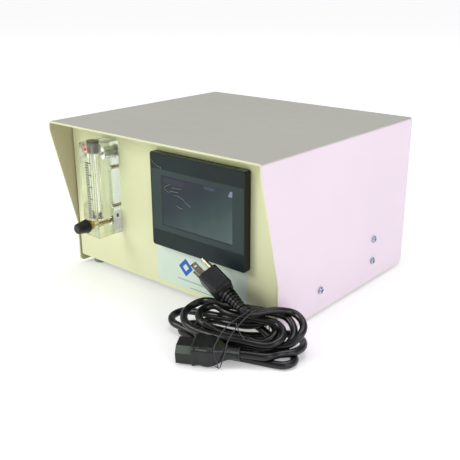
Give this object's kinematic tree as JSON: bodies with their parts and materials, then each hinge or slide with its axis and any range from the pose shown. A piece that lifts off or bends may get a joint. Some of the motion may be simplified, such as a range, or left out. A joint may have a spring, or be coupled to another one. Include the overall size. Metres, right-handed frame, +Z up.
{
  "type": "anesthesia machine",
  "caption": "Bench-top anesthesia gas control box: hooded sheet cabinet, touch panel, clear flowmeter with needle valve, rear gas ports, mains inlet and a tied mains lead.",
  "frame": {"origin": "middle of the footprint of the machine without its lead, on the surface its feet stand on", "axes": "+Z up, the front panel faces -Y, +X to the right seen from the front"},
  "size_m": [0.3511, 0.3668, 0.1808],
  "materials": {
    "cover_paint": "satin",
    "panel_paint": "satin",
    "tray_steel": "satin",
    "screw_steel": "satin",
    "foot_rubber": "matte",
    "bezel_plastic": "satin",
    "film": "satin",
    "display": "gloss",
    "black_plastic": "matte",
    "label_film": "satin",
    "acrylic": "gloss",
    "dark_plug": "satin",
    "brass": "satin",
    "aluminium": "satin",
    "seal_rubber": "matte",
    "knob_plastic": "satin",
    "nickel": "gloss",
    "fuse_glass": "gloss",
    "tube_clear": "gloss",
    "board_green": "satin",
    "relay_blue": "satin",
    "wire_sleeve": "satin",
    "cord_pvc": "satin",
    "tie_black": "satin"
  },
  "bodies": {
    "root": {"cover": "cover_paint", "front_panel": "panel_paint", "rear_panel": "panel_paint", "base_tray": "tray_steel", "cover_screws_right": "screw_steel", "cover_screws_left": "screw_steel", "foot_front_left": "foot_rubber", "foot_front_right": "foot_rubber", "foot_back_left": "foot_rubber", "foot_back_right": "foot_rubber", "foot_screws": "screw_steel", "hmi_bezel": "bezel_plastic", "touch_film": "film", "lcd_module": "display", "hmi_gasket": "seal_rubber", "hmi_housing": "black_plastic", "hmi_clamps": "screw_steel", "hmi_power_plug": "black_plastic", "front_label": "label_film", "flow_body": "acrylic", "tube_end_plug": "dark_plug", "float_stops": "dark_plug", "outlet_sleeve": "aluminium", "outlet_washer": "seal_rubber", "valve_body": "brass", "flow_mount_screws": "brass", "flow_port_nuts": "brass", "flow_port_barbs": "brass", "flow_label": "label_film", "inlet_housing": "black_plastic", "inlet_pins": "nickel", "gas_inlet_nipple": "brass", "gas_outlet_barb": "brass", "gas_port_nuts": "brass", "regulator_body": "aluminium", "regulator_bonnet": "black_plastic", "valve_block": "brass", "solenoid_coil": "black_plastic", "gas_tubing": "tube_clear", "power_supply": "aluminium", "control_board": "board_green", "board_standoffs": "aluminium", "board_relays": "relay_blue", "wiring_loom": "wire_sleeve", "cord_hank": "cord_pvc", "cord_lead_plug": "cord_pvc", "cord_lead_connector": "cord_pvc", "mains_plug": "cord_pvc", "plug_blades": "nickel", "appliance_connector": "cord_pvc", "twist_tie": "tie_black"},
    "float_ball": {"float_ball": "knob_plastic"},
    "needle_stem": {"needle_stem": "brass"},
    "flow_knob": {"flow_knob": "knob_plastic", "knob_set_screw": "screw_steel"},
    "power_rocker": {"power_rocker": "black_plastic"},
    "fuse_drawer": {"fuse_drawer": "black_plastic", "fuse_link": "fuse_glass"}
  },
  "joints": [
    {"name": "float_rise", "type": "slide", "parent": "root", "child": "float_ball", "axis": [0, 0, 1], "range_m": [0, 0.065]},
    {"name": "stem_travel", "type": "slide", "parent": "root", "child": "needle_stem", "axis": [0, -1, 0], "range_m": [0, 0.00251]},
    {"name": "knob_turn", "type": "hinge", "parent": "needle_stem", "child": "flow_knob", "pos_m": [-0.0825, -0.1445, 0.0739], "axis": [0, -1, 0], "range_deg": [0, 1800]},
    {"name": "rocker_tilt", "type": "hinge", "parent": "root", "child": "power_rocker", "pos_m": [0.096, 0.1434, 0.091], "axis": [1, 0, 0], "range_deg": [0, 18]},
    {"name": "drawer_pull", "type": "slide", "parent": "root", "child": "fuse_drawer", "axis": [0, 1, 0], "range_m": [0, 0.02]}
  ],
  "couplings": [
    {"joint": "stem_travel", "follows": "knob_turn", "m_per_rad": 0.000079577}
  ]
}
